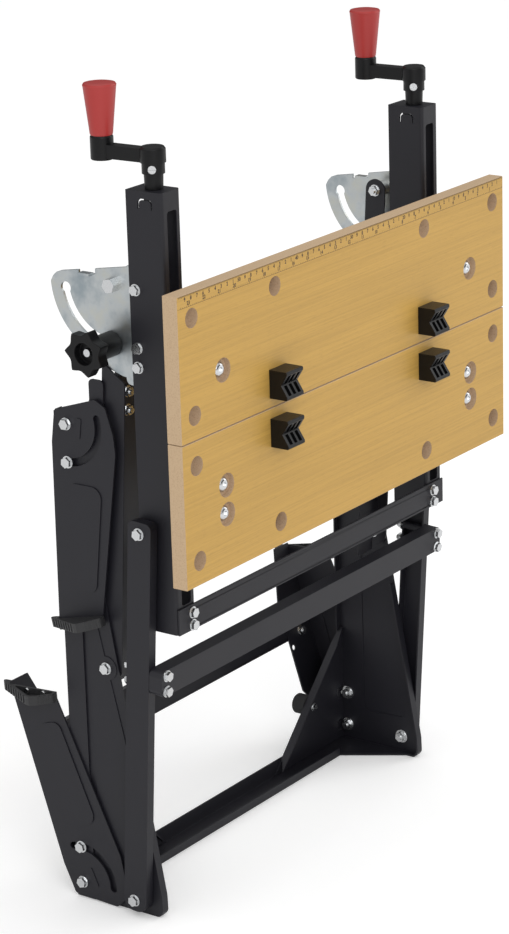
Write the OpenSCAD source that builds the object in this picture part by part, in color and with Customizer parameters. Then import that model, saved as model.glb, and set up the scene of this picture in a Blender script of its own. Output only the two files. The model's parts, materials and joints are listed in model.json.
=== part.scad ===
// Folding workbench with a two-board clamping top, standing folded on the lower ends of its side plates.
// Millimetres. X runs along the boards, -Y is the side of the board faces, +Z is up, Z = 0 is the floor.

/* [Boards] */
// length of both boards
board_l = 605; // [400:1:900]
// width of one board
board_w = 149.8; // [100:0.1:250]
// thickness of the boards
board_t = 18; // [12:0.5:30]
// gap between the closed boards
seam = 0.8; // [0.2:0.1:3]
// height of the upper edge of the moving board
board_top = 700; // [600:1:900]
// radius of a dog hole
dog_hole_r = 10; // [6:0.5:15]
// distance of the outer dog holes from the middle
dog_x_out = 280; // [200:1:290]
// distance of the inner dog holes from the middle
dog_x_in = 139.5; // [60:0.5:190]
// distance of a hole row from the board's edge
dog_row = 25.4; // [18:0.1:50]

/* [Table arms] */
// middle of an arm and its spindle in X
arm_x = 236.5; // [180:0.5:250]
// width of an arm
arm_w = 31; // [24:1:45]
// front face of an arm
arm_y0 = 53; // [45:1:70]
// depth of an arm
arm_d = 44; // [30:1:60]
// lower end of an arm
arm_z0 = 325; // [280:1:390]
// upper end of an arm
arm_z1 = 786; // [740:1:860]
// sheet thickness
wall = 2; // [1.2:0.1:3]
// position of the spindle in Y
spindle_y = 73; // [66:0.5:80]

/* [Linkage] */
// pivot of post and base
post_y = 146; // [130:1:160]
// height of the pivot of post and base
post_z = 272; // [230:1:320]
// pivot of strut and base
strut_y = 112; // [100:1:125]
// height of the pivot of strut and base
strut_z = 20; // [14:1:40]
// length of a post and of a strut between pivots
link_l = 414.8; // [300:0.1:500]
// lean of posts and struts in the folded pose
lean = 3.5935; // [0:0.0005:10]
// lock radius of the star knobs about the table pivot
lock_r = 61.5; // [50:1:80]

/* [Base] */
// rear plane of the base
base_y1 = 199; // [180:1:230]
// outer face of the side plates
side_x = 254.5; // [240:0.5:270]
// length of a foot bumper
bumper_l = 17; // [10:1:40]

/* [Extension legs] */
// pivots of the lower extension legs in Y
ext_y1 = 188.3; // [170:0.1:195]
// pivots of the upper extension legs in Y
ext_y2 = 181; // [170:0.5:195]
// height of the lower extension pivot
ext_z1 = 19; // [15:1:40]
// height of the upper extension pivot
ext_z2 = 534; // [480:1:560]
// angle of the lower extension legs in the stored pose
ext_open = 17; // [0:1:100]
// radius of the slot of an extension leg
ext_slot_r = 41; // [30:1:50]
// travel of an extension leg in degrees
ext_travel = 105; // [60:1:120]

/* [Cranks] */
// crank radius
crank_r = 63; // [40:1:90]
// height of a crank grip
grip_h = 52.5; // [30:1:80]

/* [Hidden] */
y0 = 134.02;
$fn = 48;
steel_black = [0.16, 0.16, 0.17];
zinc = [0.8, 0.8, 0.78];
plastic = [0.07, 0.07, 0.07];
beech = [0.8, 0.63, 0.34];
rubber = [0.1, 0.1, 0.1];
red = [0.7, 0.2, 0.18];
up_z0 = board_top - board_w;
lo_z1 = up_z0 - seam;
lo_z0 = lo_z1 - board_w;
arm_xo = arm_x + arm_w / 2;
arm_xi = arm_x - arm_w / 2;
arm_y1 = arm_y0 + arm_d;
link_dy = -link_l * sin(lean);
link_dz = link_l * cos(lean);
q_y = post_y + link_dy;
q_z = post_z + link_dz;
s1_y = strut_y + link_dy;
s1_z = strut_z + link_dz;
zinc_x0 = 246.3;
zinc_x1 = 249.3;
ear_x0 = 227;
ear_x1 = 229;
post_x0 = 210;
post_x1 = 251.6;
strut_x0 = side_x + 1.7;
pin_d = 6.4;
pin_h = 3.25;
strut_x1 = 267.4;
strip_x = side_x + 2;
leg_x0 = strip_x + 0.3;
leg_x1 = leg_x0 + 2;
floor_x = 204;
hi_z = 20;
bump_x = 182.4;
bump_z = 65.5;
side_in = 245;
panel = 0.8;
set_turn = -150;
bar_x = 231.7;
bar_u = [279.7, 299.5];

// corner of two offset edges
function unit(v) = v / norm(v);
function nrm(a, b) = let(u = unit(b - a)) [-u[1], u[0]];
function cross2(a, b) = a[0] * b[1] - a[1] * b[0];
function meet(p, u, q, v) = let(d = cross2(u, v))
    abs(d) < 1e-6 ? p : p + u * (cross2(q - p, v) / d);
// outline moved inward by d, for outlines listed counter-clockwise
function inset(p, d) = let(n = len(p)) [for (i = [0 : n - 1])
    let(a = p[(i + n - 1) % n], b = p[i], c = p[(i + 1) % n], n1 = nrm(a, b), n2 = nrm(b, c))
    meet(b + n1 * d, unit(b - a), b + n2 * d, unit(c - b))];
// outline with corner i rounded by r[i]
function arc_pts(b, u, v, r, k) = let(co = u * v, h = acos(max(-1, min(1, co))) / 2,
    t = r / tan(h), c = b + unit(u + v) * (r / sin(h)), p = b + u * t - c, q = b + v * t - c,
    s = cross2(p, q) > 0 ? 1 : -1, w = 180 - 2 * h)
    [for (j = [0 : k]) let(a = s * w * j / k)
        c + [p[0] * cos(a) - p[1] * sin(a), p[0] * sin(a) + p[1] * cos(a)]];
function rounded(p, r, k = 4) = let(n = len(p)) [for (i = [0 : n - 1])
    let(a = p[(i + n - 1) % n], b = p[i], c = p[(i + 1) % n])
    each (r[i] > 0 ? arc_pts(b, unit(a - b), unit(c - b), r[i], k) : [b])];

// arc slot of radius r and half width w from angle a to angle b
function polar(r, a) = [r * cos(a), r * sin(a)];
function slot_pts(r, w, a, b, k = 24) = [
    for (i = [0 : k]) polar(r + w, a + (b - a) * i / k),
    for (i = [1 : 7]) polar(r, b) + polar(w, b + i * 22.5),
    for (i = [0 : k]) polar(r - w, b + (a - b) * i / k),
    for (i = [1 : 7]) polar(r, a) + polar(w, a + 180 + i * 22.5)];

module frame() { translate([0, -y0, 0]) children(); }
module side(s) { frame() { if (s > 0) children(); else mirror([1, 0, 0]) children(); } }
module both() { side(1) children(); side(-1) children(); }
// outline in Y and Z, extruded along X from x0 to x1
module yz(x0, x1) { translate([x0, 0, 0]) rotate([90, 0, 90]) linear_extrude(x1 - x0) children(); }
// outline in X and Z, extruded along Y from ya to yb
module xz(ya, yb) { translate([0, yb, 0]) rotate([90, 0, 0]) linear_extrude(yb - ya) children(); }
module box(x0, x1, ya, yb, za, zb) { translate([x0, ya, za]) cube([x1 - x0, yb - ya, zb - za]); }
module rod_x(x0, x1, y, z, r) { translate([x0, y, z]) rotate([0, 90, 0]) cylinder(h = x1 - x0, r = r); }
module rod_y(x, ya, yb, z, r) { translate([x, yb, z]) rotate([90, 0, 0]) cylinder(h = yb - ya, r = r); }
module rod_z(x, y, za, zb, r) { translate([x, y, za]) cylinder(h = zb - za, r = r); }

// flange bolt along +Z: head above z = 0, nut below z = -grip
module bolt(grip, d, tail = 3) {
    nut = 0.85 * d;
    cylinder(h = 0.2 * d, d = 2.06 * d);
    cylinder(h = 0.85 * d, d = 1.8 * d, $fn = 6);
    translate([0, 0, -grip - nut - tail]) cylinder(h = grip + nut + tail + 1, d = d);
    translate([0, 0, -grip - nut]) cylinder(h = nut, d = 1.8 * d, $fn = 6);
    translate([0, 0, -grip - 0.2 * d]) cylinder(h = 0.2 * d, d = 2.06 * d);
}
// bolt along X with its head on the outer side at x
module bolt_x(x, y, z, grip, d, tail = 3, turn = 0) {
    translate([x, y, z]) rotate([0, 90, 0]) rotate([0, 0, turn]) bolt(grip, d, tail);
}
// bolt along Y with its head on the front at y
module bolt_y(x, y, z, grip, d, tail = 3, turn = 0) {
    translate([x, y, z]) rotate([90, 0, 0]) rotate([0, 0, turn]) bolt(grip, d, tail);
}

// side plates
side_out = [[90, 0], [base_y1, 0], [base_y1, 546], [153, 561], [153, 585], [134, 585],
    [146, 356], [86, 24], [85.5, 6]];
side_round = [6, 0, 0, 3, 5, 5, 60, 30, 6];
side_inner = [[91, wall], [base_y1 - wall, wall], [base_y1 - wall, 700], [60, 700], [60, 212],
    [122.3, 212], [88.1, 25], [87.6, 7.2]];
side_panel = [[104, 43], [166, 41], [168, 330], [160, 335], [152, 301], [126, 195]];
base_pins = [[post_y, post_z], [strut_y, strut_z], [ext_y1, ext_z1],
    [ext_y1, ext_z1 + ext_slot_r], [ext_y2, ext_z2], [ext_y2, ext_z2 - ext_slot_r]];
module side_plate() {
    bend = 175;
    difference() {
        union() {
            // web with flanges folded inward along the front, the floor and the rear
            difference() {
                yz(side_in, side_x) polygon(rounded(side_out, side_round));
                yz(side_in - 1, side_x - wall) polygon(side_inner);
            }
            // outward rear strip
            box(side_x - 1, strip_x, bend, base_y1, 0, 545);
            // raised panel of the web, hollow behind, and a boss for the post pivot
            yz(side_x - 0.5, side_x + panel)
                polygon(rounded(side_panel, [9, 9, 4, 4, 30, 40], 8));
            rod_x(side_x - 0.5, side_x + panel, post_y, post_z, 13);
            // triangular floor flange and its short rear wall
            linear_extrude(wall)
                polygon([[side_in + 1, 100], [side_in + 1, base_y1], [floor_x, base_y1],
                    [floor_x, 168]]);
            box(floor_x, side_in + 1, base_y1 - wall, base_y1, 0, hi_z);
        }
        yz(side_x - wall - 0.2, side_x - wall + panel)
            polygon(rounded(inset(side_panel, 1.4), [8, 8, 3, 3, 30, 40], 8));
        for (p = base_pins) rod_x(200, 300, p[0], p[1], pin_h);
    }
}
module side_plate_left() { color(steel_black) side(-1) side_plate(); }
module side_plate_right() { color(steel_black) side(1) side_plate(); }

// floor channel between the side plates
module base_bar() {
    color(steel_black) frame() {
        box(-floor_x, floor_x, 168, base_y1, 0, wall);
        box(-floor_x, floor_x, base_y1 - wall, base_y1, 0, hi_z);
        box(-floor_x, floor_x, 168, 168 + wall, 0, 10);
    }
}
// upper channel between the side plates
module base_head_bar() {
    color(steel_black) frame() difference() {
        union() {
            box(-252.5, 252.5, base_y1 - 2 * wall, base_y1 - wall, 500, 540);
            box(-240, 240, base_y1 - 16, base_y1 - wall, 500, 502);
            box(-240, 240, base_y1 - 16, base_y1 - wall, 538, 540);
        }
        for (s = [-1, 1]) rod_y(s * bump_x, 150, 220, 520, 3.05);
    }
}
module gusset() {
    difference() {
        union() {
            xz(base_y1 - 2 * wall, base_y1 - wall)
                polygon([[108, 3], [252.5, 3], [252.5, 142], [250, 142], [232, 128.5]]);
            // folded long edge, tapered at both ends
            intersection() {
                xz(base_y1 - 15, base_y1 - wall) polygon([[108, 3], [111, 3], [233.5, 127],
                    [252.5, 141], [252.5, 142], [250, 142], [232, 128.5]]);
                yz(100, 253) polygon([[base_y1 - wall, 20], [base_y1 - wall, 142],
                    [base_y1 - 3 * wall, 142], [base_y1 - 11.5, 127], [base_y1 - 11.5, 7]]);
            }
        }
        rod_y(bump_x, 150, 220, bump_z, 3.05);
        // room for the nuts of the extension legs
        for (z = [ext_z1, ext_z1 + ext_slot_r]) rod_x(240, 253, ext_y1, z, 9.5);
    }
}
module gusset_left() { color(steel_black) side(-1) gusset(); }
module gusset_right() { color(steel_black) side(1) gusset(); }
module bumper(z) {
    rotate([-90, 0, 0]) rotate_extrude() polygon([[3.05, 0], [12, 0], [12, bumper_l - 2],
        [10.5, bumper_l], [6, bumper_l], [6, bumper_l - 8], [3.05, bumper_l - 8]]);
}
module foot_bumpers() {
    color(rubber) frame() for (s = [-1, 1]) {
        translate([s * bump_x, base_y1 - wall, bump_z]) bumper();
        translate([s * bump_x, base_y1 - wall, 520]) bumper();
    }
}
module bumper_bolts() {
    color(zinc) frame() for (s = [-1, 1]) {
        bump_bolt(s * bump_x, base_y1 - wall, bump_z);
        bump_bolt(s * bump_x, base_y1 - wall, 520);
    }
}
module bump_bolt(x, y, z) {
    rod_y(x, y - wall - 9, y + bumper_l - 8, z, 3);
    rod_y(x, y + bumper_l - 8, y + bumper_l - 4, z, 5.4);
    translate([x, y - wall, z]) rotate([90, 0, 0]) cylinder(h = 5.2, d = 10.8, $fn = 6);
    rod_y(x, y - wall - 1.2, y - wall, z, 6.2);
}
module post_pivot_bolts() {
    color(zinc) both() {
        bolt_x(side_x + panel, post_y, post_z, side_x + panel - (post_x1 - wall) + 0.05, pin_d,
            2, 12);
        // washer between plate and post
        ring_x(post_x1 + 0.05, side_x - wall, post_y, post_z, 9, pin_d / 2);
    }
}
module ring_x(x0, x1, y, z, ro, ri) {
    difference() {
        rod_x(x0, x1, y, z, ro);
        rod_x(x0 - 1, x1 + 1, y, z, ri);
    }
}
module strut_foot_bolts() {
    color(zinc) both() {
        bolt_x(strut_x1 + 0.05, strut_y, strut_z, strut_x1 + 1.25 - (side_x - wall), pin_d, 2,
            5);
        rod_x(side_x, strut_x1 - wall - 0.05, strut_y, strut_z, 7);
        rod_x(side_x - wall - 1.4, side_x - wall, strut_y, strut_z, 8);
    }
}
module extension_bolts() {
    color(zinc) both() {
        for (i = [2 : 5]) {
            bolt_x(leg_x1 + 0.05, base_pins[i][0], base_pins[i][1],
                leg_x1 + 1.25 - (side_x - wall), pin_d, 2, i * 37 % 60);
            rod_x(side_x - wall - 1.4, side_x - wall, base_pins[i][0], base_pins[i][1], 8);
        }
    }
}

// posts
module in_post() { translate([0, post_y, post_z]) rotate([lean, 0, 0]) children(); }
module in_strut() { translate([0, strut_y, strut_z]) rotate([lean, 0, 0]) children(); }
module post() {
    in_post() difference() {
        union() {
            // outer wall with its slanted head
            yz(post_x1 - wall, post_x1) union() {
                polygon(rounded([[-17.5, 0], [11.5, 0], [11.5, 332], [-17.5, 314]], [0, 0, 4, 4]));
                translate([-3, 0]) circle(r = 14.5);
            }
            // front web
            box(post_x0, post_x1, -5.5, -3.5, 14, 318);
            box(post_x0, 240, -5.5, -3.5, -18, 15);
            // ear that carries the table pivot
            yz(ear_x0, ear_x1) union() {
                polygon([[-5.5, 309], [12.5, 309], [12.5, link_l], [-12.5, link_l],
                    [-12.5, 330], [-5.5, 320]]);
                translate([0, link_l]) circle(r = 12.5);
            }
        }
        rod_x(post_x1 - 10, 260, 0, 0, pin_h);
        rod_x(220, 240, 0, link_l, pin_h);
        rod_x(220, 240, 0, link_l - lock_r, 4.05);
        for (u = bar_u) rod_y(bar_x, -20, 0, u, 3.05);
    }
}
module post_left() { color(steel_black) side(-1) post(); }
module post_right() { color(steel_black) side(1) post(); }
module post_crossbar() {
    color(steel_black) frame() in_post() difference() {
        union() {
            box(-247, 247, -3.4, -1.4, 268, 307);
            box(-221, 221, -3.4, 10, 268, 270);
            box(-221, 221, -3.4, 10, 305, 307);
        }
        for (s = [-1, 1], u = bar_u) rod_y(s * bar_x, -10, 0, u, 3.05);
    }
}
module post_crossbar_bolts() {
    color(zinc) frame() in_post() for (s = [-1, 1], u = bar_u)
        translate([s * bar_x, -1.4, u]) rotate([-90, 0, 0]) bolt_short(4.1, 6, 2.5);
}
// small bolt with a flat head, nut on the far side
module bolt_short(grip, d, tail) {
    cylinder(h = 0.6 * d, d = 1.75 * d, $fn = 6);
    translate([0, 0, -grip - 0.85 * d - tail]) cylinder(h = grip + 0.85 * d + tail + 1, d = d);
    translate([0, 0, -grip - 0.85 * d]) cylinder(h = 0.85 * d, d = 1.8 * d, $fn = 6);
    translate([0, 0, -grip - 0.2 * d]) cylinder(h = 0.2 * d, d = 2.06 * d);
}
module clamp_studs() {
    color(zinc) both() in_post() {
        rod_x(ear_x0 - 1, 291, 0, link_l - lock_r, 4);
        translate([ear_x0 - 4.6, 0, link_l - lock_r]) rotate([0, 90, 0])
            cylinder(h = 4.6, d = 14, $fn = 6);
        // spacer up to the quadrant
        ring_x(ear_x1, zinc_x0 - 0.1, 0, link_l - lock_r, 8, 4);
    }
}

// struts
strut_out = [[-14.5, -13], [14.5, -13], [14.5, link_l + 12.5], [-14.5, link_l + 12.5]];
module strut() {
    in_strut() difference() {
        union() {
            difference() {
                yz(strut_x0, strut_x1) polygon(rounded(strut_out, [12, 12, 7, 7], 8));
                yz(strut_x0 - 1, strut_x1 - wall)
                    polygon(rounded(inset(strut_out, wall), [10, 10, 5, 5], 8));
            }
            // sleeves of the crossbar bolts
            for (u = [247, 264]) rod_y(259, -13.5, 13.5, u, 4.4);
        }
        rod_x(200, 300, 0, 0, pin_h);
        rod_x(200, 300, 0, link_l, pin_h);
        for (u = [247, 264]) rod_y(259, -20, 20, u, 3.05);
    }
}
module strut_left() { color(steel_black) side(-1) strut(); }
module strut_right() { color(steel_black) side(1) strut(); }
module strut_crossbar() {
    o = [[-267.4, 241], [267.4, 241], [267.4, 270], [-267.4, 270]];
    color(steel_black) frame() in_strut() difference() {
        xz(-31, -14.7) polygon(rounded(o, [7, 7, 7, 7]));
        xz(-31 + wall, -14) polygon(rounded(inset(o, wall), [5, 5, 5, 5]));
        for (s = [-1, 1], u = [247, 264]) rod_y(s * 259, -40, -20, u, 3.05);
    }
}
module strut_crossbar_bolts() {
    color(zinc) frame() in_strut() for (s = [-1, 1], u = [247, 264])
        bolt_y(s * 259, -31, u, 31 + 14.5, 6, 2, u % 60);
}

// table arms: channels open to the rear with a closed upper end
module arm() {
    // spacer boss for the strut
    ring_x(arm_xo - 0.5, strut_x1 - wall - 0.05, s1_y, s1_z, 7, pin_h);
    difference() {
        translate([0, 0, arm_z0]) linear_extrude(arm_z1 - arm_z0)
            polygon(rounded([[arm_xi, arm_y0], [arm_xo, arm_y0], [arm_xo, arm_y1],
                [arm_xi, arm_y1]], [3.4, 3.4, 0, 0]));
        translate([0, 0, arm_z0 - 1]) linear_extrude(arm_z1 - wall - arm_z0 + 1)
            polygon(rounded([[arm_xi + wall, arm_y0 + wall], [arm_xo - wall, arm_y0 + wall],
                [arm_xo - wall, arm_y1 + 1], [arm_xi + wall, arm_y1 + 1]], [1, 1, 0, 0]));
        // long slot for the carriage
        xz(arm_y0 - 1, arm_y0 + wall + 1) translate([arm_x - 8.5, 0])
            polygon(rounded([[0, 355], [15.5, 355], [15.5, 766], [0, 766]], [3, 3, 3, 3]));
        rod_z(arm_x, spindle_y, arm_z1 - 5, arm_z1 + 5, 5.06);
        // lanced tongue marks of the spindle seat
        yz(arm_xi - 1, arm_xo + 1) lance();
        rod_x(arm_xi + 10, arm_xo + 1, s1_y, s1_z, pin_h);
        for (z = [q_z - 1, q_z - 61, q_z - 81]) rod_x(arm_x, arm_xo + 1, 89, z, 3.05);
        for (z = [331, 344.6]) rod_y(229.6, arm_y0 - 1, arm_y0 + 5, z, 3.05);
        for (z = [460, 490.5]) rod_y(231.5, arm_y0 - 1, arm_y0 + 5, z, 3.05);
    }
}
module lance() {
    difference() {
        polygon(rounded([[64.5, 762], [82.5, 762], [82.5, 778.5], [64.5, 778.5]], [0, 0, 5, 5]));
        polygon(rounded([[66.1, 760], [80.9, 760], [80.9, 776.9], [66.1, 776.9]],
            [0, 0, 3.6, 3.6]));
        translate([62.5, 759]) square([24, 9]);
    }
}
module arm_left() { color(steel_black) side(-1) arm(); }
module arm_right() { color(steel_black) side(1) arm(); }
module arm_crossbar() {
    y = arm_y0 - wall - 0.2;
    color(steel_black) frame() difference() {
        union() {
            box(-arm_xo, arm_xo, y, y + wall, arm_z0, arm_z0 + 28);
            box(-arm_xi + 1, arm_xi - 1, y, y + 14, arm_z0, arm_z0 + wall);
        }
        for (s = [-1, 1], z = [331, 344.6]) rod_y(s * 229.6, y - 1, y + 5, z, 3.05);
    }
}
module arm_crossbar_bolts() {
    y = arm_y0 - wall - 0.2;
    color(zinc) frame() for (s = [-1, 1], z = [331, 344.6])
        bolt_y(s * 229.6, y, z, 2 * wall + 0.2, 6, 2, z % 60);
}

// zinc quadrant with the lock slot
module quadrant() {
    difference() {
        union() {
            yz(zinc_x0, zinc_x1) difference() {
                union() {
                    intersection() {
                        translate([q_y, q_z]) circle(r = 80, $fn = 96);
                        polygon([[82, 709], [104, 706], [142, 699.6], [142, 694.6], [163, 691.4],
                            [163, 696.2], [186, 692.4], [192, 690.2], [196.5, 686], [201, 678],
                            [201, 600], [82, 600]]);
                    }
                    polygon(rounded([[82, 584], [107.5, 584], [107.5, 650], [82, 650]],
                        [3, 6, 0, 0]));
                    translate([82, 650]) square([20, 57.5]);
                    polygon([[95, 590], [112, 592], [131, 598], [152, 612], [152, 640],
                        [95, 640]]);
                }
                lock_slot();
                translate([q_y, q_z]) circle(r = pin_h);
            }
            // stop tab folded out in the notch
            box(zinc_x0, zinc_x1 + 5.5, 146, 160, 692, 694.6);
        }
        for (z = [q_z - 1, q_z - 61, q_z - 81]) rod_x(240, 252, 89, z, 3.05);
    }
}
module lock_slot() {
    translate([q_y, q_z]) {
        polygon(slot_pts(lock_r, 4.6, -90 + lean, -10));
        rotate(-10) translate([lock_r, 0]) circle(r = 6.2);
    }
}
module quadrant_left() { color(zinc) side(-1) quadrant(); }
module quadrant_right() { color(zinc) side(1) quadrant(); }
module quadrant_bolts() {
    color(zinc) both() for (z = [q_z - 1, q_z - 61, q_z - 81]) {
        bolt_x(arm_xo, 89, z, arm_xo - zinc_x0, 6, 1.5, z * 3 % 60);
        ring_x(zinc_x1, arm_xo - wall, 89, z, 6, 3);
    }
}
module table_pivot_bolts() {
    color(zinc) both() {
        bolt_x(zinc_x1, q_y, q_z, zinc_x1 - ear_x0 + 0.05, pin_d, 2, 20);
        // broad head of the table pivot
        translate([zinc_x1, q_y, q_z]) rotate([0, 90, 0]) rotate([0, 0, 20])
            cylinder(h = 8.6, d = 15.4, $fn = 6);
        bolt_x(strut_x1 + 0.05, s1_y, s1_z, strut_x1 + 0.05 - (arm_xo - wall), pin_d, 1, 8);
        // spacer between the ear and the quadrant
        ring_x(ear_x1 + 0.05, zinc_x0, q_y, q_z, 8, pin_d / 2);
    }
}

// boards
module board(za, zb) {
    difference() {
        translate([0, 0, za]) rotate([90, 0, 90]) translate([0, 0, -board_l / 2])
            linear_extrude(board_l) polygon([[0.6, 0], [board_t - 0.6, 0], [board_t, 0.6],
                [board_t, zb - za - 0.6], [board_t - 0.6, zb - za], [0.6, zb - za],
                [0, zb - za - 0.6], [0, 0.6]]);
        for (s = [-1, 1], x = [dog_x_in, dog_x_out], z = [za + dog_row, zb - dog_row])
            rod_y(s * x, -1, board_t + 1, z, dog_hole_r);
    }
}
module screw_hole(x, z) {
    rod_y(x, -1, board_t + 1, z, 3.05);
    rod_y(x, -1, 6.5, z, 12.5);
}
module fixed_jaw() {
    color(beech) frame() difference() {
        board(lo_z0, lo_z1);
        for (s = [-1, 1], z = [460, 490.5]) screw_hole(s * 231.5, z);
    }
}
module moving_jaw() {
    color(beech) frame() difference() {
        board(up_z0, board_top);
        for (s = [-1, 1]) screw_hole(s * 231.5, 610);
    }
}
// pressed bracket between the fixed board and the arm
module fixed_bracket() {
    difference() {
        box(221, 250, board_t, arm_y0, 440, 512);
        box(223, 248, board_t + wall, arm_y0 - wall, 430, 520);
        for (z = [460, 490.5]) rod_y(231.5, 0, 80, z, 3.05);
    }
}
module fixed_bracket_left() { color(steel_black) side(-1) fixed_bracket(); }
module fixed_bracket_right() { color(steel_black) side(1) fixed_bracket(); }
module board_screw(x, z, y1) {
    rod_y(x, 5, y1, z, 3);
    // pan head with a hexagon socket, in the counterbore
    difference() {
        translate([x, 6.5, z]) rotate([90, 0, 0]) rotate_extrude()
            polygon([[0, 0], [7.8, 0], [7.8, 1.4], [6.4, 3], [4.6, 3.8], [0, 3.8]]);
        translate([x, 4.4, z]) rotate([90, 0, 0]) cylinder(h = 4, d = 5.6, $fn = 6);
    }
    translate([x, y1 - 2, z]) rotate([90, 0, 0]) cylinder(h = 5, d = 10.8, $fn = 6);
}
module fixed_jaw_screws() {
    color(zinc) frame() for (s = [-1, 1], z = [460, 490.5]) board_screw(s * 231.5, z, 62);
}
// carriage: hat bracket outside, threaded block inside the arm
module carriage() {
    difference() {
        union() {
            difference() {
                box(221, 250, board_t, arm_y0 - 0.3, 578, 642);
                box(223, 248, board_t + wall, arm_y0 - 0.3 - 4, 570, 650);
            }
            box(arm_x - 7, arm_x + 6.4, arm_y0 - 4, arm_y0 + 8, 590, 630);
            box(arm_xi + wall + 0.4, arm_x + 6.4, arm_y0 + wall + 0.4, 80.6, 590, 630);
        }
        rod_y(231.5, 0, 66, 610, 3.05);
        translate([231.5, 66, 610]) rotate([90, 0, 0]) cylinder(h = 8, d = 11, $fn = 6);
        rod_z(arm_x, spindle_y, 580, 640, 5.06);
    }
}
module carriage_left() { color(steel_black) side(-1) carriage(); }
module carriage_right() { color(steel_black) side(1) carriage(); }
module moving_jaw_screws() {
    color(zinc) frame() for (s = [-1, 1]) board_screw(s * 231.5, 610, 66);
}

// spindles and cranks
module spindle(s) {
    translate([s * arm_x, spindle_y, 0]) {
        rod_z(0, 0, 566, 812, 5);
        rod_z(0, 0, 566, 570, 7.5);
        // set screw in the crank collar
        rotate([0, 0, set_turn]) translate([4, 0, 807]) rotate([0, 90, 0]) {
            cylinder(h = 6, d = 4.6);
            difference() {
                translate([0, 0, 5.6]) cylinder(h = 1.6, d = 8.2);
                translate([-0.6, -5, 6.4]) cube([1.2, 10, 2]);
            }
        }
    }
}
module spindle_left() { color(zinc) frame() spindle(-1); }
module spindle_right() { color(zinc) frame() spindle(1); }
module crank(s) {
    translate([s * arm_x, spindle_y, 0]) difference() {
        union() {
            rotate_extrude() polygon([[0, arm_z1 + 0.3], [9.3, arm_z1 + 0.3], [9.8, 801.5],
                [11.6, 801.8], [11.6, 812.5], [13, 812.7], [13, 826.2], [11.2, 828.6], [0, 828.6]]);
            yz(-6.6, 6.6) polygon([[0, 812.3], [crank_r, 811.6], [crank_r, 825.5], [0, 826]]);
            translate([0, crank_r, 0]) rotate_extrude() polygon([[0, 809.5], [11.2, 809.5],
                [11.8, 810.5], [11.8, 832], [10.8, 833.8], [0, 833.8]]);
        }
        rod_z(0, 0, arm_z1 - 1, 812.05, 5);
        rotate([0, 0, set_turn]) translate([4, 0, 807]) rotate([0, 90, 0]) {
            cylinder(h = 10, d = 4.6);
            translate([0, 0, 5.6]) cylinder(h = 6, d = 8.6);
        }
        translate([0, crank_r, 0]) rod_z(0, 0, 820, 836, 3.5);
    }
}
module crank_left() { color(plastic) frame() crank(-1); }
module crank_right() { color(plastic) frame() crank(1); }
module grip(s) {
    translate([s * arm_x, spindle_y + crank_r, 834]) rotate_extrude()
        polygon([[0, -10], [3.45, -10], [3.45, 0], [11, 0], [11.6, 1], [16.6, grip_h - 5],
            [17, grip_h - 2.5], [16, grip_h - 0.8], [12, grip_h], [0, grip_h]]);
}
module grip_left() { color(red) frame() grip(-1); }
module grip_right() { color(red) frame() grip(1); }

// star knobs on the post studs
module star() {
    lobes = 7;
    r_hi = 24.2;
    pts = [for (i = [0 : lobes * 12 - 1]) let(a = i * 360 / (lobes * 12),
        t = (i % 12) / 12, b = abs(t - 0.5) * 2, r = r_hi - 5.4 * pow(sin(90 * (1 - b)), 1.1))
        [r * cos(a), r * sin(a)]];
    polygon(pts);
}
module star_knob() {
    in_post() translate([0, 0, link_l - lock_r]) rotate([0, 90, 0]) difference() {
        union() {
            translate([0, 0, zinc_x1 + 0.3]) cylinder(h = 290 - zinc_x1 - 0.3, r = 13);
            translate([0, 0, 283]) linear_extrude(13) rotate(36.7) star();
        }
        translate([0, 0, 240]) cylinder(h = 60, r = 4.05);
        translate([0, 0, 287.5]) cylinder(h = 10, r = 11.5);
    }
}
module star_knob_left() { color(plastic) side(-1) star_knob(); }
module star_knob_right() { color(plastic) side(1) star_knob(); }

// bench dogs: V blocks with a peg
module dog(x, z) {
    translate([x, 0, z]) difference() {
        union() {
            yz(-14.5, 14.5) polygon([[-0.3, -15], [-0.3, 15], [-21, 15], [-22, 14], [-22, 11.5],
                [-14.5, 0], [-22, -11.5], [-22, -14], [-21, -15]]);
            rotate([-90, 0, 0]) translate([0, 0, -0.4])
                cylinder(h = board_t + 8, r = dog_hole_r - 0.05);
        }
        // grooves in both faces of the V
        for (sx = [-8.2, 0, 8.2]) {
            yz(sx - 2.6, sx + 2.6) polygon(dog_groove);
            mirror([0, 0, 1]) yz(sx - 2.6, sx + 2.6) polygon(dog_groove);
        }
        rotate([-90, 0, 0]) translate([0, 0, 6]) cylinder(h = 30, r = 6.5);
    }
}
// from the valley of the V along its face, sunk square to the face
dog_groove = let(a = [-14.5, 0], b = [-22, 11.5], u = unit(b - a), n = [u[1], -u[0]])
    [a + u * 1 - n * 3, a + u * 12.6 - n * 3, a + u * 12.6 + n * 3.4, a + u * 1 + n * 3.4];
module dog_upper_left() { color(plastic) frame() dog(-dog_x_in, up_z0 + dog_row); }
module dog_upper_right() { color(plastic) frame() dog(dog_x_in, up_z0 + dog_row); }
module dog_lower_left() { color(plastic) frame() dog(-dog_x_in, lo_z1 - dog_row); }
module dog_lower_right() { color(plastic) frame() dog(dog_x_in, lo_z1 - dog_row); }

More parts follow.
